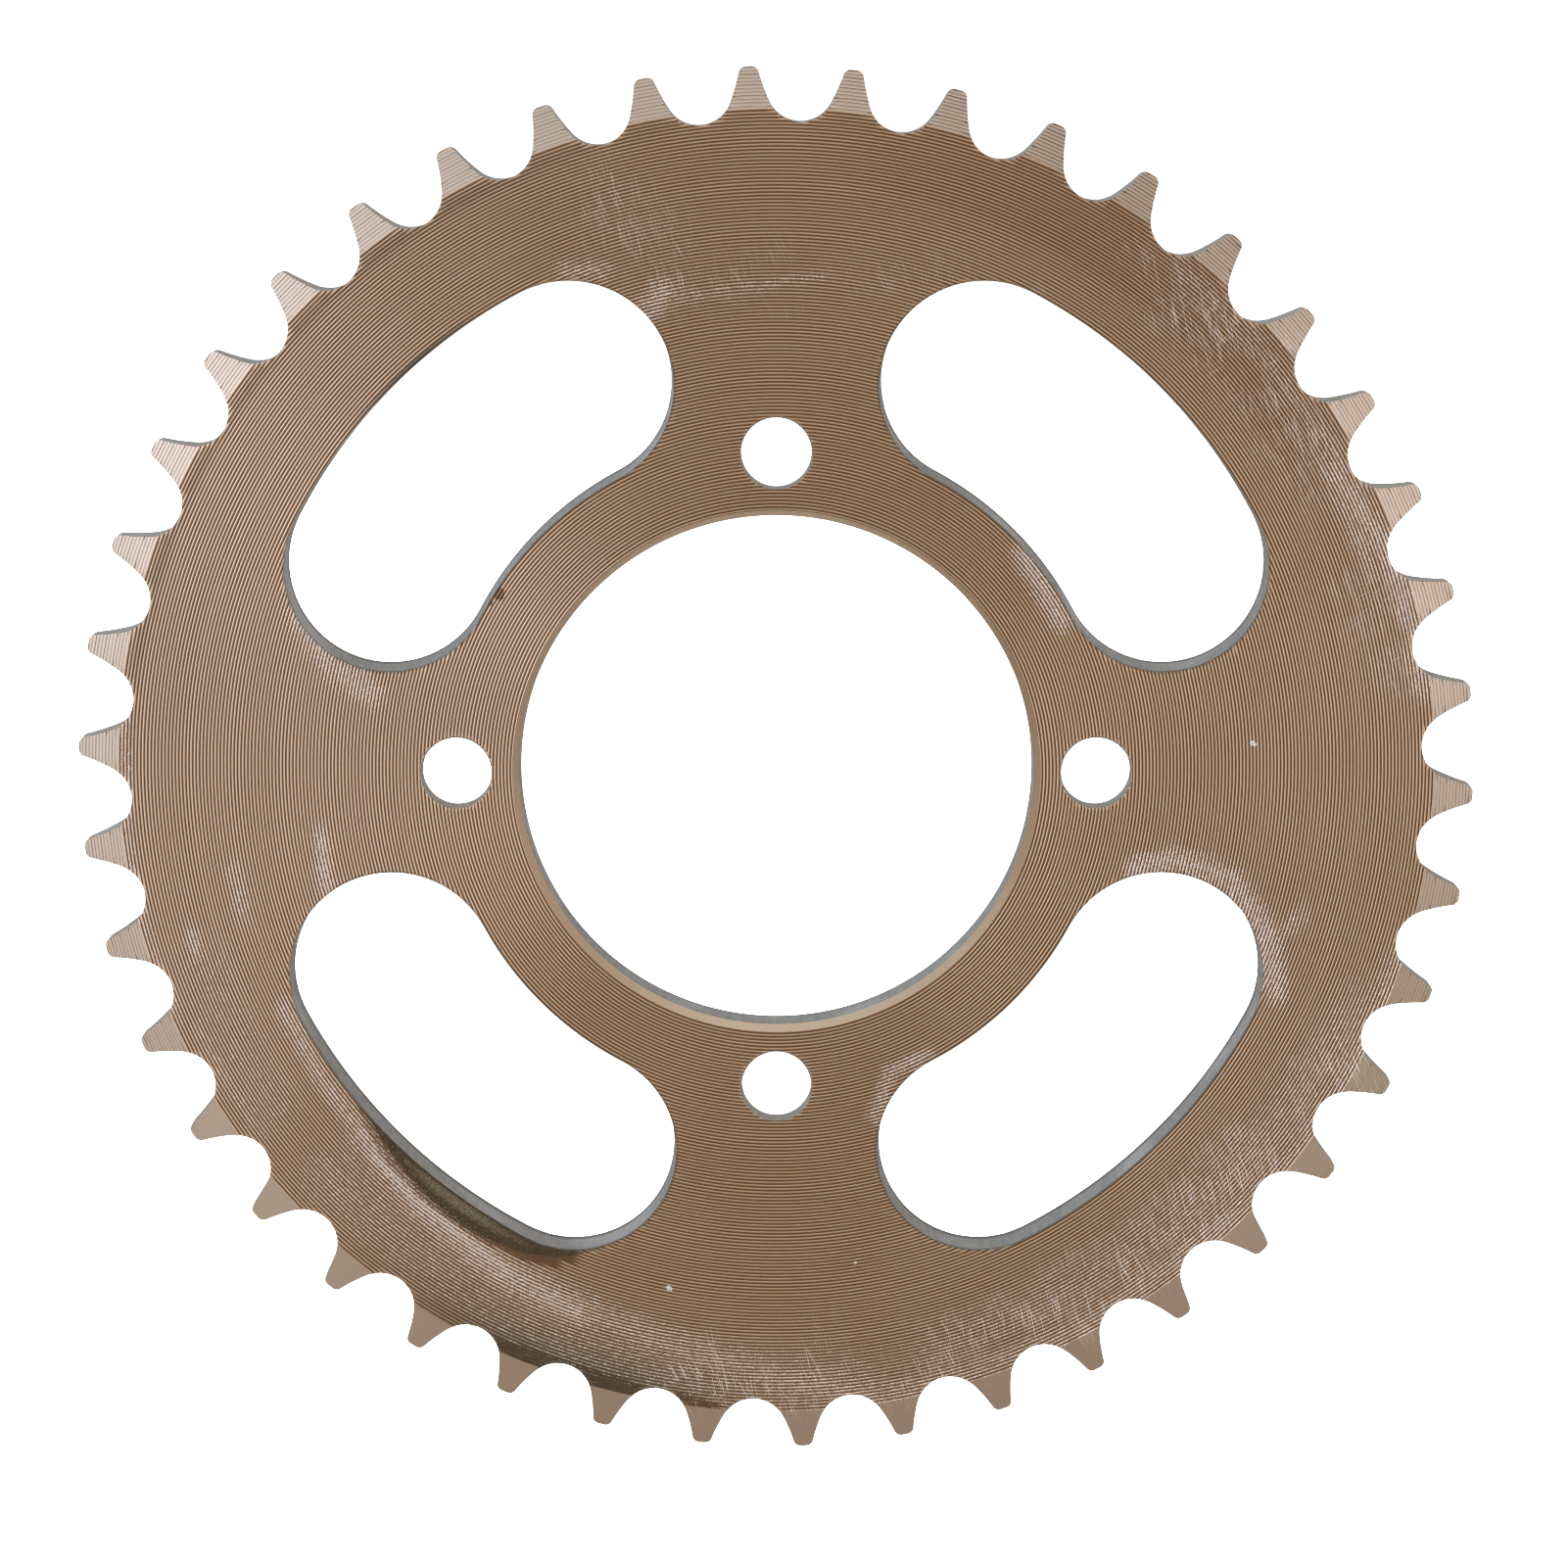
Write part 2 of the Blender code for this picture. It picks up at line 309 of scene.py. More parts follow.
def toothed_outline():
    """Half a tooth gap, from the seat to the middle of a tip, then mirrored and repeated round the axis."""
    seat_centre = (ROOT_RADIUS + SEAT_RADIUS, 0.0)
    seat_end = math.pi - SEAT_HALF_ANGLE
    seat = arc(seat_centre, SEAT_RADIUS, math.pi, seat_end, SEAT_STEPS)
    reach = FLANK_RADIUS - SEAT_RADIUS
    flank_centre = (seat_centre[0] - reach * math.cos(seat_end), -reach * math.sin(seat_end))
    corner = tip_corner_centre(flank_centre)
    flank_end = math.atan2(corner[1] - flank_centre[1], corner[0] - flank_centre[0])
    flank = arc(flank_centre, FLANK_RADIUS, seat_end, flank_end, FLANK_STEPS)
    tip_start = math.atan2(corner[1], corner[0])
    rounding = arc(corner, TIP_CORNER_RADIUS, flank_end - math.pi, tip_start, TIP_CORNER_STEPS)
    tip = arc((0, 0), TIP_RADIUS, math.pi / TOOTH_COUNT, math.pi / TOOTH_COUNT, 1)[:1]
    half = np.concatenate([seat, flank[1:], rounding[1:], tip])
    gap = np.concatenate([(half * [1, -1])[::-1][:-1], half[:-1]])
    return np.concatenate([rotated(gap, FIRST_GAP_ANGLE + TAU * i / TOOTH_COUNT) for i in range(TOOTH_COUNT)])


def window_outline(draft, index):
    """Outline of a window whose side towards the bore is moved outwards by the draft."""
    end = WINDOW_HALF_ANGLE
    middle = WINDOW_CENTRE_RADIUS + draft / 2
    width = WINDOW_HALF_WIDTH - draft / 2
    end_x, end_y = middle * math.cos(end), middle * math.sin(end)
    outline = np.concatenate([
        arc((0, 0), middle + width, -end, end, WINDOW_OUTER_STEPS)[:-1],
        arc((end_x, end_y), width, end, end + math.pi, WINDOW_END_STEPS)[:-1],
        arc((0, 0), middle - width, end, -end, WINDOW_INNER_STEPS)[:-1],
        arc((end_x, -end_y), width, math.pi - end, TAU - end, WINDOW_END_STEPS)[:-1],
    ])
    return rotated(outline, TAU * (index + 0.5) / WINDOW_COUNT)


def bolt_outline(grow, index):
    angle = TAU * index / BOLT_COUNT
    centre = (BOLT_CIRCLE * math.cos(angle), BOLT_CIRCLE * math.sin(angle))
    return arc(centre, BOLT_RADIUS + grow, 0, TAU, BOLT_STEPS)[:-1]


# Distances from the openings' edges, negative inside the opening


def window_distance(u, v):
    radius = np.hypot(u, v)
    angle = np.arctan2(v, u)
    sector = TAU / WINDOW_COUNT
    local = np.abs((angle % sector) - sector / 2)
    beside = np.abs(radius - WINDOW_CENTRE_RADIUS) - WINDOW_HALF_WIDTH
    x, y = radius * np.cos(local), radius * np.sin(local)
    end_x = WINDOW_CENTRE_RADIUS * math.cos(WINDOW_HALF_ANGLE)
    end_y = WINDOW_CENTRE_RADIUS * math.sin(WINDOW_HALF_ANGLE)
    round_end = np.hypot(x - end_x, y - end_y) - WINDOW_HALF_WIDTH
    return np.where(local < WINDOW_HALF_ANGLE, beside, round_end)


def bolt_distance(u, v):
    sector = TAU / BOLT_COUNT
    local = (np.arctan2(v, u) + sector / 2) % sector - sector / 2
    radius = np.hypot(u, v)
    return np.hypot(radius * np.cos(local) - BOLT_CIRCLE, radius * np.sin(local)) - BOLT_RADIUS


# Places on the plate


def stroke(u, v, points, width):
    """1 on the line through these points, falling to 0 at width from it."""
    nearest = np.full(u.shape, 1e9)
    for (au, av), (bu, bv) in zip(points[:-1], points[1:]):
        du, dv = bu - au, bv - av
        t = np.clip(((u - au) * du + (v - av) * dv) / (du * du + dv * dv), 0, 1)
        nearest = np.minimum(nearest, np.hypot(u - au - t * du, v - av - t * dv))
    return 1 - smoothstep(0.0, width, nearest)


def painted(u, v, strokes, mask):
    """The mask with these strokes over it, the stronger of the two everywhere."""
    for points, width, strength in strokes:
        mask = np.maximum(mask, strength * stroke(u, v, points, width))
    return mask


def sweep(u, v, stretch):
    """1 along a stretch round the axis, fading to 0 at its ends."""
    start, end, fade = stretch
    middle, half = (start + end) / 2, (end - start) / 2
    away = np.abs((np.degrees(np.arctan2(v, u)) - middle + 180) % 360 - 180)
    return 1 - smoothstep(half - fade, half + fade, away)


def band(radius, limits):
    """0 inside a band's start, rising to its strength where the band is full and beyond."""
    start, full, strength = limits
    return strength * smoothstep(start, full, radius)


def cone_drop(radius):
    """How far the tooth cones lie below the flat face at this radius."""
    return np.maximum(radius - RELIEF_START, 0) * RELIEF_SLOPE


def rolled_depth(u, v):
    """How far the blank's own surface lies below the turned face."""
    radius = np.hypot(u, v)
    window = np.maximum(window_distance(u, v), 0)
    outer_edge = radius > WINDOW_CENTRE_RADIUS
    depth = ROLL_DEPTH * np.exp(-(window / ROLL_WIDTH) ** 2) + DIP_DEPTH * np.exp(-(window / DIP_WIDTH) ** 2)
    depth = depth * sweep(u, v, WINDOW_DIP) * outer_edge
    depth += RIM_DIP_DEPTH * smoothstep(RIM_DIP_START, RIM_DIP_FULL, radius) * sweep(u, v, RIM_DIP)
    return np.where(radius < FACE_EDGE, depth, 0.0)


# Mesh


def face_profile(seed):
    """(radius, drop below the flat face, is a ridge) from the bore's chamfer to beyond the teeth."""
    rng = np.random.RandomState(seed)
    start = BORE_RADIUS + BORE_CHAMFER
    pitch = (RELIEF_START - start) / GROOVE_COUNT
    points = []
    for i in range(GROOVE_COUNT):
        low = start + pitch * i
        depth = GROOVE_DEPTH * rng.uniform(GROOVE_LEAST_SHARE, 1.0)
        points.append((low, rng.uniform(0, RIDGE_UNEVENNESS) if i else 0.0, True))
        points.append((low + pitch * VALLEY_POSITION, depth, False))
    radius = RELIEF_START
    while radius < TIP_RADIUS + RIM_MARGIN:
        points.append((radius, (radius - RELIEF_START) * RELIEF_SLOPE, True))
        half = radius + pitch / 2
        depth = CONE_GROOVE_DEPTH * rng.uniform(CONE_GROOVE_LEAST_SHARE, 1.0)
        points.append((half, (half - RELIEF_START) * RELIEF_SLOPE + depth, False))
        radius += pitch
    return points


def turned_blank():
    """The turned disc as one closed mesh: bore wall, chamfers, and grooved faces and cones on both sides."""
    front = face_profile(FRONT_SEED)
    back = face_profile(BACK_SEED)
    wall = HALF_THICKNESS - BORE_CHAMFER
    rings = [(r, HALF_THICKNESS - drop, ridge) for r, drop, ridge in front]
    rings += [(r, drop - HALF_THICKNESS, ridge) for r, drop, ridge in reversed(back)]
    rings += [(BORE_RADIUS, -wall, True), (BORE_RADIUS, wall, True)]
    radius, height, ridge = np.array(rings).T
    count = len(rings)
    ring = np.arange(count)
    angle = TAU * np.arange(TURN_STEPS) / TURN_STEPS
    u = np.outer(np.cos(angle), radius)
    v = np.outer(np.sin(angle), radius)
    h = np.broadcast_to(height, u.shape).copy()

    on_front = ring < len(front)
    faint = CONE_GROOVE_FAINT_SHARE
    share = faint + (1 - faint) * sweep(u, v, DEEP_CONE_GROOVES)
    share = share + CONE_GROOVE_EXTRA_SHARE * sweep(u, v, DEEPEST_CONE_GROOVES)
    cut_depth = HALF_THICKNESS - cone_drop(radius) - h
    in_cone_groove = on_front & (radius > RELIEF_START) & (ridge == 0)
    h = np.where(in_cone_groove, h + cut_depth * (1 - share), h)
    h = np.where(on_front, np.minimum(h, HALF_THICKNESS - rolled_depth(u, v) - cone_drop(radius)), h)

    step = np.arange(TURN_STEPS)[:, None]
    after = (step + 1) % TURN_STEPS
    beside = (ring + 1) % count
    corners = [step * count + ring, step * count + beside, after * count + beside, after * count + ring]
    return np.stack([u, v, h], -1).reshape(-1, 3), np.stack(corners, -1).reshape(-1, 4)


def mesh_from(name, points, faces):
    """A mesh of (u, v, h) points in millimetres, placed on the plate's centre."""
    points = np.asarray(points)
    world = np.stack([points[:, 0], -points[:, 2], points[:, 1]], 1) * MM + np.array(CENTRE)
    mesh = bpy.data.meshes.new(name)
    mesh.from_pydata(world.tolist(), [], [list(map(int, f)) for f in faces])
    mesh.validate()
    mesh.update()
    return mesh


def new_object(name, mesh):
    thing = bpy.data.objects.new(name, mesh)
    bpy.context.scene.collection.objects.link(thing)
    return thing


def lofted(name, levels):
    """A closed solid through outlines that all have the same number of points, from the back to the front."""
    count = len(levels[0][0])
    points = np.concatenate([np.column_stack([outline, np.full(count, h)]) for outline, h in levels])
    faces = [list(range(count))[::-1], [i + count * (len(levels) - 1) for i in range(count)]]
    for level in range(len(levels) - 1):
        base = level * count
        for i in range(count):
            j = (i + 1) % count
            faces.append([base + i, base + j, base + count + j, base + count + i])
    return new_object(name, mesh_from(name, points, faces))


def tooth_tool():
    reach = HALF_THICKNESS + CUT_MARGIN
    outline = toothed_outline()
    return lofted("tooth_tool", [(outline, -reach), (outline, reach)])


def window_tool(index):
    back, front = window_outline(WINDOW_DRAFT, index), window_outline(0.0, index)
    half = HALF_THICKNESS
    levels = [(back, -half - CUT_MARGIN), (back, -half), (front, half), (front, half + CUT_MARGIN)]
    return lofted(f"window_tool_{index}", levels)


def bolt_tool(index):
    half = HALF_THICKNESS
    beyond = CUT_MARGIN * BOLT_SINK_WIDTH / BOLT_SINK_DEPTH
    return lofted(f"bolt_tool_{index}", [
        (bolt_outline(BOLT_SINK_WIDTH + beyond, index), -half - CUT_MARGIN),
        (bolt_outline(0.0, index), BOLT_SINK_DEPTH - half),
        (bolt_outline(0.0, index), half - BOLT_FRONT_BREAK),
        (bolt_outline(BOLT_FRONT_BREAK + CUT_MARGIN, index), half + CUT_MARGIN),
    ])


def cut(piece, tool, operation):
    boolean = piece.modifiers.new(tool.name, "BOOLEAN")
    boolean.operation = operation
    boolean.solver = "MANIFOLD"
    boolean.object = tool


def bake(piece, tools):
    """Puts the cuts into the piece's mesh and removes their tools."""
    bpy.context.view_layer.update()
    graph = bpy.context.evaluated_depsgraph_get()
    mesh = bpy.data.meshes.new_from_object(piece.evaluated_get(graph))
    piece.modifiers.clear()
    old = piece.data
    piece.data = mesh
    bpy.data.meshes.remove(old)
    mesh.name = piece.name
    for tool in tools:
        bpy.data.objects.remove(tool, do_unlink=True)


def on_plate(points):
    """u, v and h, in millimetres, of points in the scene."""
    points = (points.reshape(-1, 3).astype(float) - np.array(CENTRE)) / MM
    return points[:, 0], points[:, 2], -points[:, 1]


def array_of(collection, name, kind, width=1):
    """One property of everything in a mesh collection, as a flat array."""
    values = np.empty(len(collection) * width, kind)
    collection.foreach_get(name, values)
    return values


def assign_faces(mesh):
    """Material 0 is the turned metal and material 1 the pressed and drilled walls."""
    along_axis = np.abs(array_of(mesh.polygons, "normal", np.float32, 3).reshape(-1, 3)[:, 1])
    u, v, _ = on_plate(array_of(mesh.polygons, "center", np.float32, 3))
    drilled = bolt_distance(u, v) < BOLT_SINK_WIDTH
    wall = along_axis < np.where(drilled, DRILLED_WALL_LIMIT, WALL_LIMIT)
    mesh.polygons.foreach_set("material_index", wall.astype(np.int32))


def mark_sharp_edges(mesh):
    """Sharp along the ridges of the tool marks and at real edges, smooth in the bottoms of the marks."""
    mesh.shade_smooth()
    mesh.set_sharp_from_angle(angle=SHARP_ANGLE)
    u, v, h = on_plate(array_of(mesh.vertices, "co", np.float32, 3))
    radius = np.hypot(u, v)
    ridge = np.abs(h) > HALF_THICKNESS - cone_drop(radius) - RIDGE_TOLERANCE
    a, b = array_of(mesh.edges, "vertices", np.int32, 2).reshape(-1, 2).T
    same_ring = np.abs(radius[a] - radius[b]) < RING_TOLERANCE
    faces_wall = array_of(mesh.polygons, "material_index", np.int32)
    corners = array_of(mesh.polygons, "loop_total", np.int32)
    wall_count = np.bincount(
        array_of(mesh.loops, "edge_index", np.int32), np.repeat(faces_wall, corners), len(mesh.edges))
    flags = mesh.attributes.get("sharp_edge") or mesh.attributes.new("sharp_edge", "BOOLEAN", "EDGE")
    sharp = array_of(flags.data, "value", bool)
    flags.data.foreach_set("value", sharp | (wall_count == 1) | (ridge[a] & ridge[b] & same_ring))


def wear_and_painted_light_masks(u, v, h):
    """Masks that the materials read, one value for each vertex: wear, painted shade, a painted highlight and
    painted sheen among them.
    """
    radius = np.hypot(u, v)
    front = h > 0
    on_cone = radius > CONE_EDGE
    beyond_windows = radius > WINDOW_CENTRE_RADIUS
    depth = rolled_depth(u, v)

    # Painted shade: a band at the bottom rim, partly the darker unturned surface there, and a thin line near
    # the rim on the upper left
    dark_rim = band(radius, DARK_RIM_BAND) * sweep(u, v, DARK_RIM)
    rim_line = RIM_LINE_STRENGTH * np.exp(-((radius - RIM_LINE_RADIUS) / RIM_LINE_WIDTH) ** 2)
    shade = np.maximum(dark_rim, rim_line * sweep(u, v, DARK_RIM_LINE)) * (radius < FACE_EDGE)

    torn = smoothstep(TORN_START, TORN_FULL, depth) * (1 - smoothstep(TORN_FULL, TORN_END, depth))
    torn = torn * sweep(u, v, TORN_DIP_EDGE)
    scuff = painted(u, v, SCUFFS, torn * (radius < TORN_OUTER_RADIUS))
    scuff *= (radius < SCUFF_EDGE) * np.where(front, 1.0, BACK_SCUFF_SHARE)
    scratch = painted(u, v, SCRATCHED_PLACES, 0.0)

    above = BROWNED_ABOVE * sweep(u, v, BROWNED_CONES_ABOVE)
    below = BROWNED_BELOW * sweep(u, v, BROWNED_CONES_BELOW)
    browned_face = band(radius, BROWNED_FACE_BAND) * sweep(u, v, BROWNED_BAND) * front
    tooth_walls = TOOTH_WALL_BARENESS * (radius > TOOTH_WALLS_START)
    return {
        "cone": on_cone,
        "browned": np.where(on_cone, np.maximum(above, below), browned_face),
        # Painted highlight on the upper part of the bore's chamfer
        "chamfer": (radius < CHAMFER_EDGE) * sweep(u, v, BRIGHT_CHAMFER) * front,
        "bare_wall": np.where(bolt_distance(u, v) < BOLT_SINK_WIDTH + SINK_RING, 1.0, tooth_walls),
        "shade": shade * front,
        "scuff": scuff,
        "scratch": scratch * np.where(front, 1.0, BACK_SCRATCH_SHARE),
        # Painted sheen on the left side, towards the brightest soft box
        "pale": LIT_SHEEN_STRENGTH * sweep(u, v, LIT_SIDE_SHEEN) + MIDDLE_SHEEN_STRENGTH * sweep(u, v, SHEEN_MIDDLE),
        "edge": np.clip(window_distance(u, v), 0, EDGE_REACH),
        "rolled": sweep(u, v, SCALE_SKIN) * beyond_windows * front,
        # Painted shade along the upper left window's outer edge
        "shaded_edge": sweep(u, v, SHADED_WINDOW_EDGE) * beyond_windows * front,
    }


def add_wear_and_painted_light(mesh):
    u, v, h = on_plate(array_of(mesh.vertices, "co", np.float32, 3))
    for name, values in wear_and_painted_light_masks(u, v, h).items():
        attribute = mesh.attributes.new(name, "FLOAT", "POINT")
        attribute.data.foreach_set("value", np.asarray(values, np.float32))


# Materials


class Nodes:
    """Adds nodes to a material's or world's tree, with their settings and inputs in one call."""

    def __init__(self, tree):
        self.tree = tree

    def add(self, kind, settings=None, **inputs):
        node = self.tree.nodes.new("ShaderNode" + kind)
        for key, value in (settings or {}).items():
            setattr(node, key, value)
        for key, value in inputs.items():
            self.put(node, key, value)
        return node

    def put(self, node, key, value):
        """Sets or links an input, given by its name with _ for a space, or by number as i0, i1 and so on."""
        numbered = key[0] == "i" and key[1:].isdigit()
        socket = node.inputs[int(key[1:])] if numbered else node.inputs[key.replace("_", " ")]
        if isinstance(value, bpy.types.Node):
            value = value.outputs[0]
        if isinstance(value, bpy.types.NodeSocket):
            self.tree.links.new(value, socket)
        else:
            socket.default_value = value

    def math(self, operation, a, b=0.0):
        return self.add("Math", {"operation": operation}, i0=a, i1=b).outputs[0]

    def plus(self, a, b):
        return self.math("ADD", a, b)

    def minus(self, a, b):
        return self.math("SUBTRACT", a, b)

    def times(self, a, b):
        return self.math("MULTIPLY", a, b)

    def larger(self, a, b):
        return self.math("MAXIMUM", a, b)

    def vector(self, operation, a, b):
        return self.add("VectorMath", {"operation": operation}, i0=a, i1=b)

    def ramp(self, value, low, high, to_low=0.0, to_high=1.0):
        """A smooth step from to_low at low to to_high at high."""
        settings = {"interpolation_type": "SMOOTHSTEP"}
        return self.add("MapRange", settings, i0=value, i1=low, i2=high, i3=to_low, i4=to_high).outputs[0]

    def mix(self, factor, a, b):
        return self.add("Mix", {"data_type": "RGBA"}, i0=factor, i6=a, i7=b).outputs[2]

    def noise(self, place, scale, detail=2.0, roughness=0.5):
        texture = self.add("TexNoise", None, Vector=place, Scale=scale, Detail=detail, Roughness=roughness)
        return texture.outputs[0]

    def attribute(self, name):
        return self.add("Attribute", {"attribute_name": name}).outputs["Fac"]

    def parts(self, vector):
        return self.add("SeparateXYZ", None, Vector=vector).outputs


def new_material(name):
    material = bpy.data.materials.new(name)
    material.use_nodes = True
    material.node_tree.nodes.clear()
    nodes = Nodes(material.node_tree)
    shader = nodes.add("BsdfPrincipled")
    nodes.add("OutputMaterial", None, Surface=shader)
    place = nodes.add("TexCoord").outputs["Object"]
    return material, nodes, shader, place


def streaks(nodes, place, angle, length, width, threshold):
    """Thin scratches that all run at one angle."""
    settings = {"vector_type": "TEXTURE"}
    rotation = (0, math.radians(-angle), 0)
    scale = (length * MM, 1.0, width * MM)
    along = nodes.add("Mapping", settings, Vector=place, Rotation=rotation, Scale=scale).outputs[0]
    return nodes.ramp(nodes.noise(along, 1.0, 1.0, 0.4), threshold, threshold + 0.04)


def around_and_out(nodes, place, along, across):
    """Coordinates round the plate's axis and out from it, in units of these lengths in millimetres."""
    parts = nodes.parts(place)
    x = nodes.minus(parts["X"], CENTRE.x)
    z = nodes.minus(parts["Z"], CENTRE.z)
    radius = nodes.math("SQRT", nodes.plus(nodes.times(x, x), nodes.times(z, z)))
    around = nodes.times(nodes.math("ARCTAN2", z, x), WINDOW_CENTRE_RADIUS / along)
    out = nodes.math("DIVIDE", radius, across * MM)
    return nodes.add("CombineXYZ", None, X=around, Y=out, Z=parts["Y"]).outputs[0]


def spots(nodes, place, marks):
    """Small ragged spots on the outer face, each given as (u, v, radius)."""
    ragged = nodes.noise(place, 1500.0, 2.0, 0.6)
    found = 0.0
    for u, v, radius in marks:
        centre = (CENTRE.x + u * MM, plate_low.y, CENTRE.z + v * MM)
        away = nodes.vector("DISTANCE", place, centre).outputs["Value"]
        away = nodes.plus(nodes.math("DIVIDE", away, radius * MM), ragged)
        found = nodes.larger(found, nodes.ramp(away, 1.6, 1.3))
    return found


def turned_tint(nodes, cloud, fine):
    """The bronze cast of the turned face and the tooth cones, cloudy and uneven round the plate: browned in
    stretches, and with painted sheen on the left side, which faces the brightest soft box.
    """
    tint = nodes.mix(nodes.ramp(cloud, 0.3, 0.7), BRONZE_DARK, BRONZE_LIGHT)
    tint = nodes.mix(nodes.times(nodes.ramp(fine, 0.4, 0.8), 0.5), tint, BRONZE_GRAIN)
    # Painted sheen on the left side, towards the brightest soft box
    tint = nodes.mix(nodes.attribute("pale"), tint, SHEEN_BRONZE)
    browned = nodes.attribute("browned")
    tint = nodes.mix(browned, tint, BROWNED_BRONZE)
    return nodes.mix(nodes.attribute("cone"), tint, nodes.mix(browned, CONE_METAL, BROWNED_CONE))


def rim_and_edge_shade(nodes, edge, ridge):
    """Strength of the painted shade at the rim, less on the ridges, and along the windows' edges; at the
    bottom rim it also stands for the darker unturned surface.
    """
    shade_strength = nodes.times(nodes.attribute("shade"), nodes.minus(1.0, nodes.times(ridge, 0.25)))
    # Painted shade along the upper left window's outer edge
    shaded_edge = nodes.times(nodes.ramp(edge, 0.9, 0.35), nodes.attribute("shaded_edge"))
    shade_strength = nodes.larger(shade_strength, shaded_edge)
    # A thin line of painted shade along every window's edge
    return nodes.larger(shade_strength, nodes.ramp(edge, 0.4, 0.05, 0.0, 0.6))


def scuff_specks(nodes, place, scuff, grain, ridge):
    """Bright torn specks within the scuffed places, in short dashes along the tool marks."""
    dashes = nodes.noise(around_and_out(nodes, place, 0.65, 0.26), 1.0, 2.0, 0.7)
    speckle = nodes.plus(nodes.times(dashes, 0.5), nodes.times(grain, 0.5))
    speckle = nodes.plus(speckle, nodes.times(ridge, 0.16))
    speckle = nodes.ramp(nodes.plus(speckle, nodes.times(scuff, 0.16)), 0.66, 0.84)
    return nodes.times(speckle, nodes.ramp(scuff, 0.02, 0.3))


def scale_skin(nodes, edge, fine, grain):
    """Where the blank's rolled surface still carries its scale: a ragged patch, narrower at its ends."""
    narrowed = nodes.times(nodes.minus(1.0, nodes.attribute("rolled")), 4.0)
    skin = nodes.ramp(nodes.plus(edge, narrowed), 3.6, 1.8)
    broken = nodes.plus(nodes.times(fine, 0.7), nodes.times(grain, 0.5))
    return nodes.ramp(nodes.plus(skin, broken), 0.85, 1.15)


def scratch_lines(nodes, place):
    """Fine straight scratches in three directions, in patches within the scratched places."""
    lines = streaks(nodes, place, -62, 5.0, 0.14, 0.62)
    lines = nodes.larger(lines, streaks(nodes, place, 38, 3.0, 0.12, 0.66))
    lines = nodes.larger(lines, streaks(nodes, place, -78, 6.0, 0.14, 0.62))
    patchy = nodes.ramp(nodes.noise(place, 160.0, 2.0, 0.5), 0.38, 0.56, 0.2, 1.0)
    return nodes.times(nodes.times(lines, nodes.attribute("scratch")), patchy)


def turned_metal():
    material, nodes, shader, place = new_material("turned_steel_face")
    cloud = nodes.noise(place, 45.0, 3.0, 0.6)
    fine = nodes.noise(place, 900.0, 3.0, 0.6)
    grain = nodes.noise(place, 3800.0, 2.0, 0.7)
    edge = nodes.attribute("edge")
    scuff = nodes.attribute("scuff")
    from_middle = nodes.math("ABSOLUTE", nodes.minus(nodes.parts(place)["Y"], CENTRE.y))
    below = nodes.minus(HALF_THICKNESS * MM, from_middle)
    ridge = nodes.ramp(below, GROOVE_DEPTH * MM, 0.0)

    shade_strength = rim_and_edge_shade(nodes, edge, ridge)
    # Painted highlight on the upper part of the bore's chamfer
    chamfer_highlight = nodes.times(nodes.ramp(below, 0.14 * MM, 0.24 * MM), nodes.attribute("chamfer"))
    speckle = scuff_specks(nodes, place, scuff, grain, ridge)
    skin = scale_skin(nodes, edge, fine, grain)
    lines = scratch_lines(nodes, place)
    stains = spots(nodes, place, STAINS)
    chips = spots(nodes, place, CHIPS)

    colour = turned_tint(nodes, cloud, fine)
    # Painted shade at the rim and along the windows' edges
    colour = nodes.mix(shade_strength, colour, PAINTED_SHADE)
    # Painted highlight on the upper part of the bore's chamfer
    colour = nodes.mix(chamfer_highlight, colour, CHAMFER_HIGHLIGHT)
    colour = nodes.mix(nodes.times(scuff, 0.25), colour, SCUFFED_METAL)
    colour = nodes.mix(speckle, colour, SCUFF_SPECK)
    colour = nodes.mix(skin, colour, nodes.mix(nodes.ramp(grain, 0.45, 0.72), SCALE_DARK, SCALE_LIGHT))
    colour = nodes.mix(lines, colour, SCRATCH_METAL)
    colour = nodes.mix(nodes.times(stains, 0.75), colour, STAIN_COLOUR)
    colour = nodes.mix(chips, colour, CHIP_METAL)
    nodes.put(shader, "Base_Color", colour)

    marks = nodes.larger(nodes.larger(nodes.times(speckle, 0.9), lines), chips)
    roughness = nodes.plus(nodes.ramp(fine, 0.3, 0.7, 0.16, 0.20), nodes.times(marks, 0.26))
    roughness = nodes.plus(roughness, nodes.times(nodes.larger(skin, shade_strength), 0.20))
    nodes.put(shader, "Roughness", roughness)

    height = nodes.plus(nodes.times(grain, 0.5), nodes.times(speckle, 0.8))
    nodes.put(shader, "Normal", nodes.add("Bump", None, Strength=0.35, Distance=0.03 * MM, Height=height))

    torn = nodes.larger(chips, nodes.times(speckle, nodes.ramp(scuff, 0.6, 1.2)))
    nodes.put(shader, "Metallic", nodes.minus(1.0, nodes.times(torn, 0.7)))
    return material


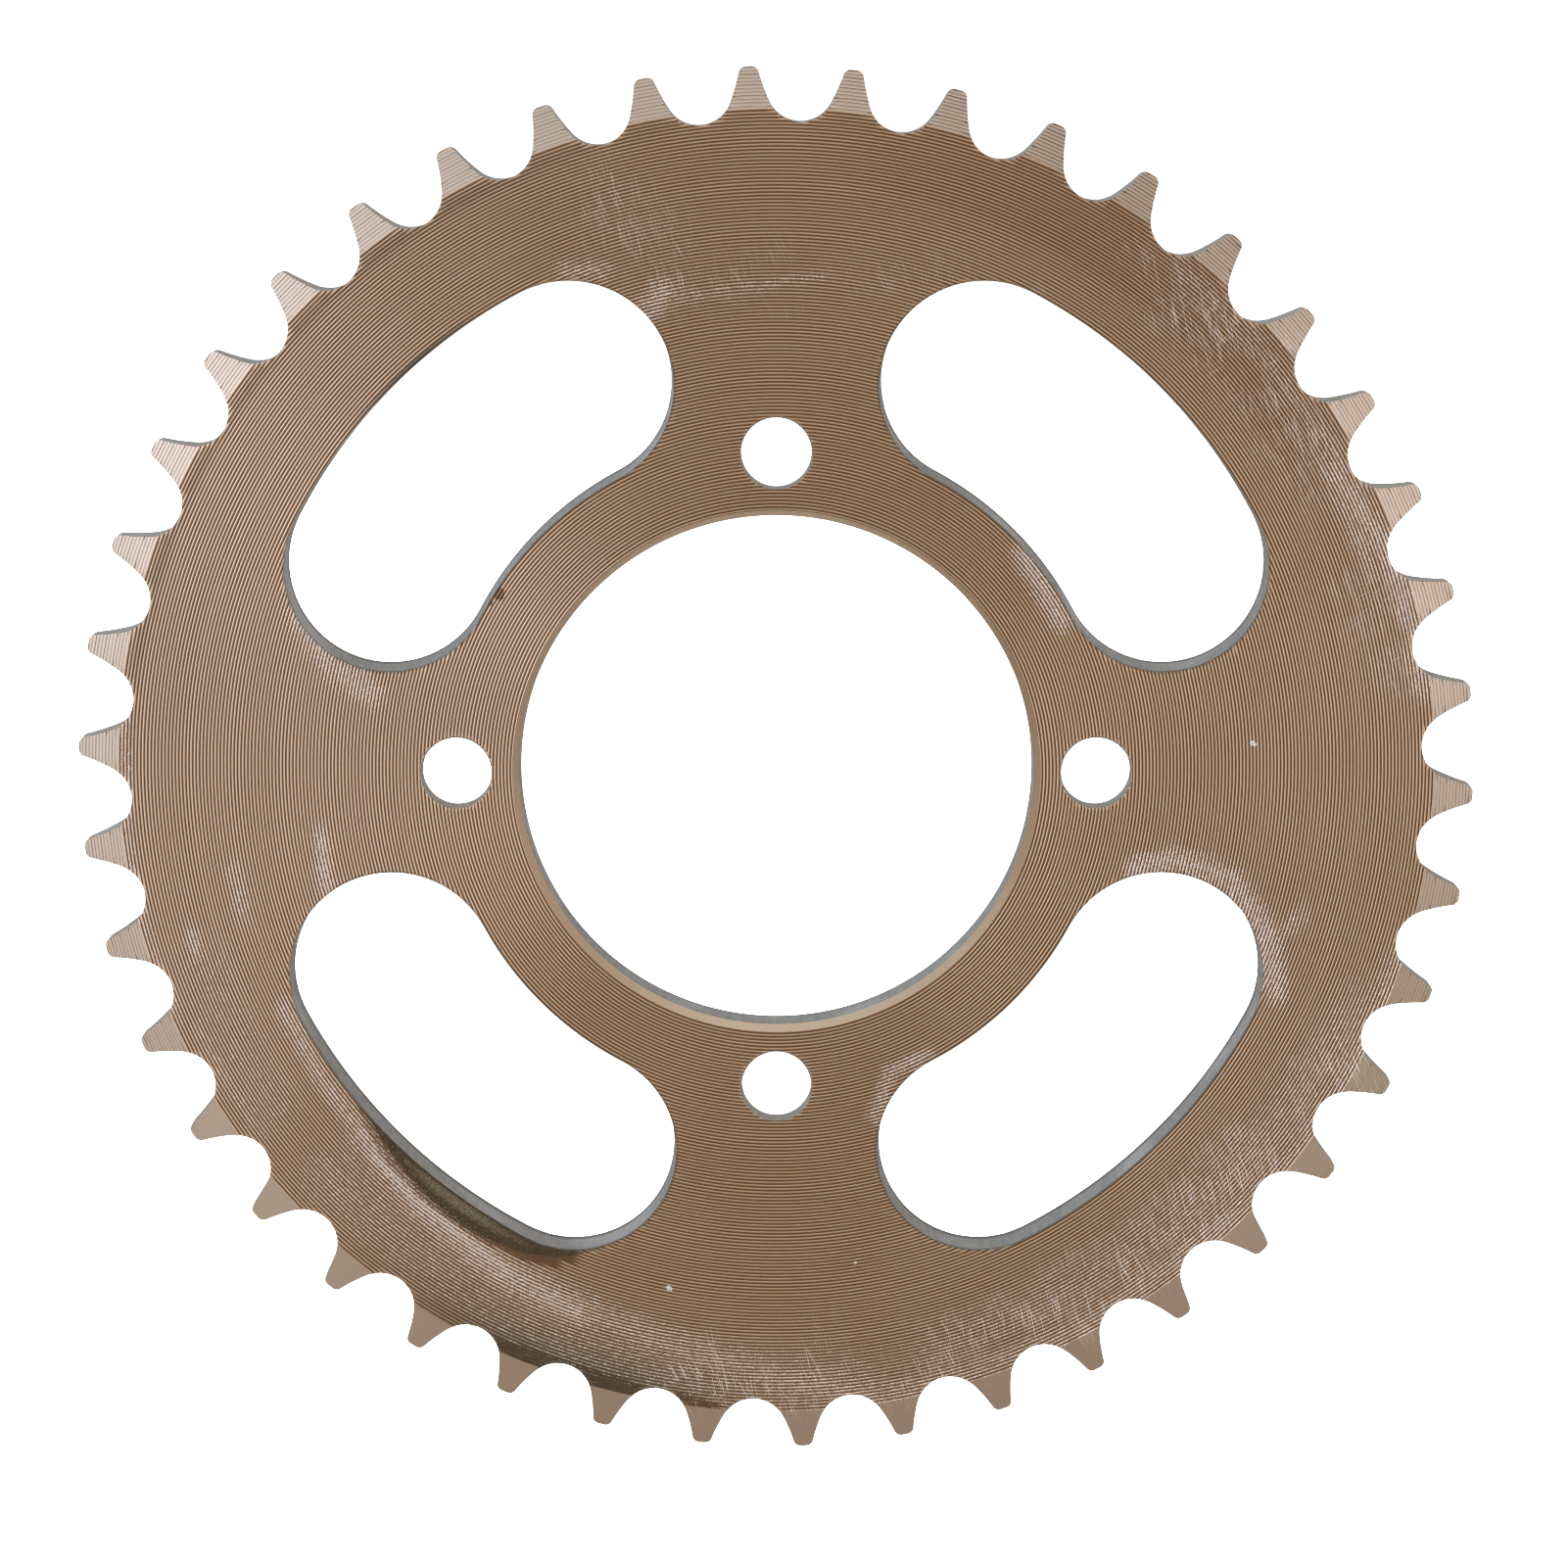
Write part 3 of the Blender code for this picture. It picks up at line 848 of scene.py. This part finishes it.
def pressed_wall():
    material, nodes, shader, place = new_material("turned_steel_wall")
    depth = nodes.parts(place)["Y"]
    grain = nodes.noise(place, 1600.0, 4.0, 0.65)
    stretched = nodes.add("Mapping", None, Vector=place, Scale=(1400.0, 160.0, 1400.0)).outputs[0]
    streak = nodes.noise(stretched, 1.0, 3.0)
    patch = nodes.noise(place, 90.0, 2.0, 0.5)
    tone = nodes.mix(nodes.ramp(streak, 0.3, 0.7), WALL_DARK, WALL_LIGHT)
    tone = nodes.mix(nodes.times(nodes.ramp(patch, 0.48, 0.66), 0.6), tone, WALL_PATCH)
    tone = nodes.mix(nodes.times(nodes.ramp(grain, 0.55, 0.8), 0.6), tone, WALL_GRAIN)
    half = HALF_THICKNESS * MM
    back_edge = nodes.ramp(depth, CENTRE.y + 0.45 * half, CENTRE.y + 0.9 * half)
    front_edge = nodes.ramp(depth, CENTRE.y - 0.70 * half, CENTRE.y - 0.95 * half)
    tone = nodes.mix(nodes.times(nodes.larger(back_edge, front_edge), 0.8), tone, WALL_EDGE)
    drilled = nodes.mix(nodes.ramp(grain, 0.4, 0.7), DRILLED_LIGHT, DRILLED_DARK)
    tone = nodes.mix(nodes.attribute("bare_wall"), tone, drilled)
    bump = nodes.add("Bump", None, Strength=0.3, Distance=0.05 * MM, Height=nodes.plus(grain, streak))
    nodes.put(shader, "Base_Color", tone)
    nodes.put(shader, "Roughness", nodes.ramp(grain, 0.3, 0.7, 0.6, 0.72))
    nodes.put(shader, "Metallic", 0.4)
    nodes.put(shader, "Specular_IOR_Level", 0.2)
    nodes.put(shader, "Normal", bump)
    return material


# Stage


def direction(off_axis, around):
    """A direction this many degrees off the reflected line of sight, at this angle round it."""
    t, a = math.radians(off_axis), math.radians(around)
    side = math.sin(t) * math.cos(a)
    up = math.sin(t) * math.sin(a)
    away = math.cos(t)
    cos_dip, sin_dip = math.cos(MIRROR_DIP), math.sin(MIRROR_DIP)
    return side, away * cos_dip + up * sin_dip, up * cos_dip - away * sin_dip


def studio_world():
    """Soft boxes round a dim middle, the same in front of the object and behind it, seen as plain white."""
    world = bpy.data.worlds.new("studio")
    bpy.context.scene.world = world
    world.use_nodes = True
    world.node_tree.nodes.clear()
    nodes = Nodes(world.node_tree)
    parts = nodes.parts(nodes.add("TexCoord").outputs["Generated"])
    depth = nodes.math("ABSOLUTE", parts["Y"])
    folded = nodes.add("CombineXYZ", None, X=parts["X"], Y=depth, Z=parts["Z"]).outputs[0]

    def facing(where):
        return nodes.larger(nodes.vector("DOT_PRODUCT", folded, where).outputs["Value"], 0.0)

    # Where each soft box is, how sharply it fades, and its colour
    boxes = [
        (direction(50, 150), 14, (0.76, 0.87, 1.10)),
        (direction(52, 190), 12, (0.31, 0.365, 0.45)),
        (direction(50, 18), 14, (0.58, 0.595, 0.68)),
        (direction(52, 75), 14, (0.12, 0.09, 0.10)),
        (direction(85, 140), 8, (0.08, 0.17, 0.24)),
        (direction(68, 150), 30, (0.25, 0.25, 0.27)),
        ((0.0, 0.0, 1.0), 3, (0.38, 0.54, 0.68)),
    ]
    lobes = []
    for where, power, colour in boxes:
        strength = nodes.math("POWER", facing(where), power)
        lobes.append(nodes.add("VectorMath", {"operation": "SCALE"}, i0=colour, Scale=strength).outputs[0])
    light = lobes[0]
    for more in lobes[1:] + [SKY_BASE]:
        light = nodes.vector("ADD", light, more).outputs[0]
    middle = facing(direction(0, 0))
    beside = nodes.ramp(middle, math.cos(DIM_INNER_ANGLE), math.cos(DIM_OUTER_ANGLE))
    lit = nodes.mix(beside, DIM_MIDDLE, light)
    shown = nodes.mix(nodes.add("LightPath").outputs["Is Camera Ray"], lit, WHITE)
    background = nodes.add("Background", None, Color=shown, Strength=1.0)
    nodes.add("OutputWorld", None, Surface=background)


def floor_plane():
    """A wide pale floor, which the plate neither reflects nor takes light from."""
    x = y = FLOOR_HALF_SIZE
    z = -FLOOR_DROP
    mesh = bpy.data.meshes.new("floor")
    mesh.from_pydata([(-x, -y, z), (x, -y, z), (x, y, z), (-x, y, z)], [], [(0, 1, 2, 3)])
    floor = new_object("floor", mesh)
    material, nodes, shader, _ = new_material("pale_floor")
    nodes.put(shader, "Base_Color", FLOOR_COLOUR)
    nodes.put(shader, "Roughness", 0.8)
    nodes.put(shader, "Emission_Color", WHITE)
    nodes.put(shader, "Emission_Strength", FLOOR_GLOW)
    mesh.materials.append(material)
    floor.visible_glossy = False
    floor.visible_diffuse = False


def camera():
    data = bpy.data.cameras.new("camera")
    data.lens = LENS
    data.sensor_width = SENSOR_WIDTH
    view = new_object("camera", data)
    view.location = CENTRE + Vector(CAMERA_OFFSET)
    view.rotation_euler = (CAMERA_PITCH, 0.0, CAMERA_TURN)
    bpy.context.scene.camera = view


def build_sprocket():
    points, faces = turned_blank()
    plate = new_object("sprocket", mesh_from("sprocket", points, faces))
    teeth = tooth_tool()
    openings = [window_tool(index) for index in range(WINDOW_COUNT)]
    openings += [bolt_tool(index) for index in range(BOLT_COUNT)]
    cut(plate, teeth, "INTERSECT")
    for opening in openings:
        cut(plate, opening, "DIFFERENCE")
    bake(plate, [teeth] + openings)
    mesh = plate.data
    mesh.materials.clear()
    mesh.materials.append(turned_metal())
    mesh.materials.append(pressed_wall())
    assign_faces(mesh)
    mark_sharp_edges(mesh)
    add_wear_and_painted_light(mesh)
    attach(plate, BODY)
    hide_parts(NODE)


build_sprocket()
studio_world()
floor_plane()
camera()

bpy.context.scene.view_settings.view_transform = "Standard"
# The tool marks are very fine, and denoising or a wide filter would blur them away
bpy.context.scene.cycles.use_denoising = False
bpy.context.scene.cycles.filter_width = 1.0
